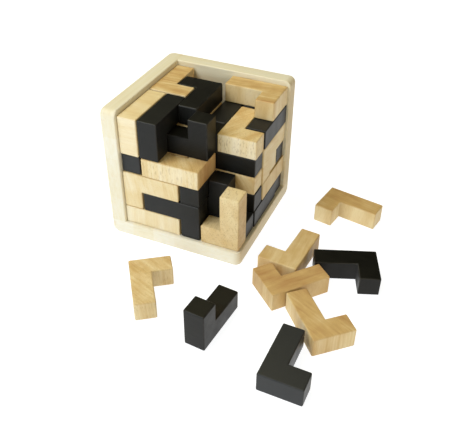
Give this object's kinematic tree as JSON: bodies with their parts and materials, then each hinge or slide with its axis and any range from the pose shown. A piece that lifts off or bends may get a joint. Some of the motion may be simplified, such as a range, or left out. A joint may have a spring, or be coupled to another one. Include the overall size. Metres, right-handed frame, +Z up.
{
  "type": "packing puzzle",
  "caption": "Wooden packing puzzle: identical L-shaped pieces in two colours part-fill a cube in a three-panel corner tray, with loose pieces beside it.",
  "frame": {"origin": "centre of the tray's underside, on the table", "axes": "+X to the tray's open right side, -Y to its open front, +Z up"},
  "size_m": [0.2247, 0.2218, 0.1148],
  "materials": {
    "tray_wood": "satin",
    "natural_wood": "satin",
    "black_wood": "satin"
  },
  "bodies": {
    "tray": {"tray_floor": "tray_wood", "tray_left_wall": "tray_wood", "tray_back_wall": "tray_wood"},
    "black_a": {"black_a": "black_wood"},
    "black_b": {"black_b": "black_wood"},
    "black_c": {"black_c": "black_wood"},
    "black_d": {"black_d": "black_wood"},
    "black_e": {"black_e": "black_wood"},
    "black_f": {"black_f": "black_wood"},
    "black_g": {"black_g": "black_wood"},
    "black_h": {"black_h": "black_wood"},
    "black_i": {"black_i": "black_wood"},
    "black_j": {"black_j": "black_wood"},
    "black_k": {"black_k": "black_wood"},
    "black_l": {"black_l": "black_wood"},
    "black_m": {"black_m": "black_wood"},
    "black_n": {"black_n": "black_wood"},
    "black_o": {"black_o": "black_wood"},
    "black_p": {"black_p": "black_wood"},
    "black_q": {"black_q": "black_wood"},
    "black_r": {"black_r": "black_wood"},
    "black_s": {"black_s": "black_wood"},
    "black_t": {"black_t": "black_wood"},
    "black_u": {"black_u": "black_wood"},
    "black_v": {"black_v": "black_wood"},
    "black_w": {"black_w": "black_wood"},
    "black_x": {"black_x": "black_wood"},
    "natural_a": {"natural_a": "natural_wood"},
    "natural_b": {"natural_b": "natural_wood"},
    "natural_c": {"natural_c": "natural_wood"},
    "natural_d": {"natural_d": "natural_wood"},
    "natural_e": {"natural_e": "natural_wood"},
    "natural_f": {"natural_f": "natural_wood"},
    "natural_g": {"natural_g": "natural_wood"},
    "natural_h": {"natural_h": "natural_wood"},
    "natural_i": {"natural_i": "natural_wood"},
    "natural_j": {"natural_j": "natural_wood"},
    "natural_k": {"natural_k": "natural_wood"},
    "natural_l": {"natural_l": "natural_wood"},
    "natural_m": {"natural_m": "natural_wood"},
    "natural_n": {"natural_n": "natural_wood"},
    "natural_o": {"natural_o": "natural_wood"},
    "natural_p": {"natural_p": "natural_wood"},
    "natural_q": {"natural_q": "natural_wood"},
    "natural_r": {"natural_r": "natural_wood"},
    "natural_s": {"natural_s": "natural_wood"},
    "natural_t": {"natural_t": "natural_wood"},
    "natural_u": {"natural_u": "natural_wood"},
    "natural_v": {"natural_v": "natural_wood"},
    "loose_natural_1": {"loose_natural_1": "natural_wood"},
    "loose_black_2": {"loose_black_2": "black_wood"},
    "loose_black_3": {"loose_black_3": "black_wood"},
    "loose_natural_4": {"loose_natural_4": "natural_wood"},
    "loose_natural_5": {"loose_natural_5": "natural_wood"},
    "loose_natural_6": {"loose_natural_6": "natural_wood"},
    "loose_black_7": {"loose_black_7": "black_wood"},
    "loose_natural_8": {"loose_natural_8": "natural_wood"}
  },
  "joints": [
    {"name": "natural_a_slide", "type": "slide", "parent": "natural_d", "child": "natural_a", "axis": [0, 0, 1], "range_m": [0, 0.0328]},
    {"name": "natural_b_slide", "type": "slide", "parent": "black_h", "child": "natural_b", "axis": [0, 0, 1], "range_m": [0, 0.0164]},
    {"name": "black_a_slide", "type": "slide", "parent": "natural_e", "child": "black_a", "axis": [0, 0, 1], "range_m": [0, 0.0328]},
    {"name": "black_c_slide", "type": "slide", "parent": "natural_e", "child": "black_c", "axis": [0, 0, 1], "range_m": [0, 0.0164]},
    {"name": "black_b_slide", "type": "slide", "parent": "tray", "child": "black_b", "axis": [1, 0, 0], "range_m": [0, 0.084]},
    {"name": "natural_c_slide", "type": "slide", "parent": "black_f", "child": "natural_c", "axis": [0, 0, 1], "range_m": [0, 0.0164]},
    {"name": "natural_f_slide", "type": "slide", "parent": "black_d", "child": "natural_f", "axis": [0, 0, 1], "range_m": [0, 0.0328]},
    {"name": "black_g_slide", "type": "slide", "parent": "tray", "child": "black_g", "axis": [1, 0, 0], "range_m": [0, 0.0336]},
    {"name": "natural_i_slide", "type": "slide", "parent": "natural_j", "child": "natural_i", "axis": [0, -1, 0], "range_m": [0, 0.0336]},
    {"name": "black_q_slide", "type": "slide", "parent": "tray", "child": "black_q", "axis": [0, -1, 0], "range_m": [0, 0.0168]},
    {"name": "natural_n_slide", "type": "slide", "parent": "tray", "child": "natural_n", "axis": [0, -1, 0], "range_m": [0, 0.0168]},
    {"name": "natural_k_slide", "type": "slide", "parent": "black_k", "child": "natural_k", "axis": [1, 0, 0], "range_m": [0, 0.0168]},
    {"name": "natural_m_slide", "type": "slide", "parent": "black_n", "child": "natural_m", "axis": [0, -1, 0], "range_m": [0, 0.0168]},
    {"name": "black_u_slide", "type": "slide", "parent": "black_x", "child": "black_u", "axis": [1, 0, 0], "range_m": [0, 0.0336]},
    {"name": "black_v_slide", "type": "slide", "parent": "black_u", "child": "black_v", "axis": [1, 0, 0], "range_m": [0, 0.0336]},
    {"name": "black_x_slide", "type": "slide", "parent": "natural_v", "child": "black_x", "axis": [1, 0, 0], "range_m": [0, 0.0336]},
    {"name": "black_d_slide", "type": "slide", "parent": "tray", "child": "black_d", "axis": [0, 0, 1], "range_m": [0, 0.0492]},
    {"name": "black_m_slide", "type": "slide", "parent": "black_s", "child": "black_m", "axis": [0, -1, 0], "range_m": [0, 0.0336]},
    {"name": "black_o_slide", "type": "slide", "parent": "black_r", "child": "black_o", "axis": [1, 0, 0], "range_m": [0, 0.0672]},
    {"name": "natural_o_slide", "type": "slide", "parent": "natural_r", "child": "natural_o", "axis": [1, 0, 0], "range_m": [0, 0.0504]},
    {"name": "black_t_slide", "type": "slide", "parent": "natural_o", "child": "black_t", "axis": [1, 0, 0], "range_m": [0, 0.0336]},
    {"name": "natural_t_slide", "type": "slide", "parent": "black_t", "child": "natural_t", "axis": [1, 0, 0], "range_m": [0, 0.0336]},
    {"name": "natural_p_slide", "type": "slide", "parent": "black_j", "child": "natural_p", "axis": [1, 0, 0], "range_m": [0, 0.0504]},
    {"name": "black_k_slide", "type": "slide", "parent": "black_l", "child": "black_k", "axis": [1, 0, 0], "range_m": [0, 0.0336]},
    {"name": "black_l_slide", "type": "slide", "parent": "natural_p", "child": "black_l", "axis": [1, 0, 0], "range_m": [0, 0.0504]},
    {"name": "black_f_slide", "type": "slide", "parent": "natural_g", "child": "black_f", "axis": [0, 0, 1], "range_m": [0, 0.0492]},
    {"name": "black_i_slide", "type": "slide", "parent": "tray", "child": "black_i", "axis": [0, -1, 0], "range_m": [0, 0.0504]},
    {"name": "natural_j_slide", "type": "slide", "parent": "black_i", "child": "natural_j", "axis": [0, -1, 0], "range_m": [0, 0.0672]},
    {"name": "natural_d_slide", "type": "slide", "parent": "black_e", "child": "natural_d", "axis": [0, 0, 1], "range_m": [0, 0.0492]},
    {"name": "natural_e_slide", "type": "slide", "parent": "natural_g", "child": "natural_e", "axis": [0, 0, 1], "range_m": [0, 0.0328]},
    {"name": "natural_g_slide", "type": "slide", "parent": "natural_h", "child": "natural_g", "axis": [0, 0, 1], "range_m": [0, 0.0492]},
    {"name": "black_e_slide", "type": "slide", "parent": "natural_l", "child": "black_e", "axis": [0, 0, 1], "range_m": [0, 0.0656]},
    {"name": "black_h_slide", "type": "slide", "parent": "natural_d", "child": "black_h", "axis": [0, 0, 1], "range_m": [0, 0.0656]},
    {"name": "natural_h_slide", "type": "slide", "parent": "natural_l", "child": "natural_h", "axis": [0, 0, 1], "range_m": [0, 0.0656]},
    {"name": "natural_l_slide", "type": "slide", "parent": "tray", "child": "natural_l", "axis": [0, 0, 1], "range_m": [0, 0.082]},
    {"name": "black_j_slide", "type": "slide", "parent": "tray", "child": "black_j", "axis": [1, 0, 0], "range_m": [0, 0.0672]},
    {"name": "natural_r_slide", "type": "slide", "parent": "black_p", "child": "natural_r", "axis": [1, 0, 0], "range_m": [0, 0.0672]},
    {"name": "natural_s_slide", "type": "slide", "parent": "black_w", "child": "natural_s", "axis": [1, 0, 0], "range_m": [0, 0.0336]},
    {"name": "natural_v_slide", "type": "slide", "parent": "black_r", "child": "natural_v", "axis": [1, 0, 0], "range_m": [0, 0.0336]},
    {"name": "black_r_slide", "type": "slide", "parent": "natural_s", "child": "black_r", "axis": [1, 0, 0], "range_m": [0, 0.0336]},
    {"name": "natural_u_slide", "type": "slide", "parent": "black_s", "child": "natural_u", "axis": [0, -1, 0], "range_m": [0, 0.03]},
    {"name": "black_n_slide", "type": "slide", "parent": "black_m", "child": "black_n", "axis": [0, -1, 0], "range_m": [0, 0.0672]},
    {"name": "black_p_slide", "type": "slide", "parent": "natural_q", "child": "black_p", "axis": [1, 0, 0], "range_m": [0, 0.1008]},
    {"name": "black_s_slide", "type": "slide", "parent": "tray", "child": "black_s", "axis": [0, -1, 0], "range_m": [0, 0.03]},
    {"name": "black_w_slide", "type": "slide", "parent": "tray", "child": "black_w", "axis": [1, 0, 0], "range_m": [0, 0.0336]},
    {"name": "natural_q_slide", "type": "slide", "parent": "natural_s", "child": "natural_q", "axis": [1, 0, 0], "range_m": [0, 0.084]},
    {"name": "loose_natural_1_lift", "type": "slide", "parent": "tray", "child": "loose_natural_1", "axis": [0, 0, 1], "range_m": [0, 0.115]},
    {"name": "loose_black_2_lift", "type": "slide", "parent": "tray", "child": "loose_black_2", "axis": [0, 0, 1], "range_m": [0, 0.115]},
    {"name": "loose_black_3_lift", "type": "slide", "parent": "tray", "child": "loose_black_3", "axis": [0, 0, 1], "range_m": [0, 0.115]},
    {"name": "loose_natural_4_lift", "type": "slide", "parent": "tray", "child": "loose_natural_4", "axis": [0, 0, 1], "range_m": [0, 0.115]},
    {"name": "loose_natural_5_lift", "type": "slide", "parent": "tray", "child": "loose_natural_5", "axis": [0, 0, 1], "range_m": [0, 0.115]},
    {"name": "loose_natural_6_lift", "type": "slide", "parent": "tray", "child": "loose_natural_6", "axis": [0, 0, 1], "range_m": [0, 0.115]},
    {"name": "loose_black_7_lift", "type": "slide", "parent": "tray", "child": "loose_black_7", "axis": [0, 0, 1], "range_m": [0, 0.115]},
    {"name": "loose_natural_8_lift", "type": "slide", "parent": "tray", "child": "loose_natural_8", "axis": [0, 0, 1], "range_m": [0, 0.115]}
  ]
}
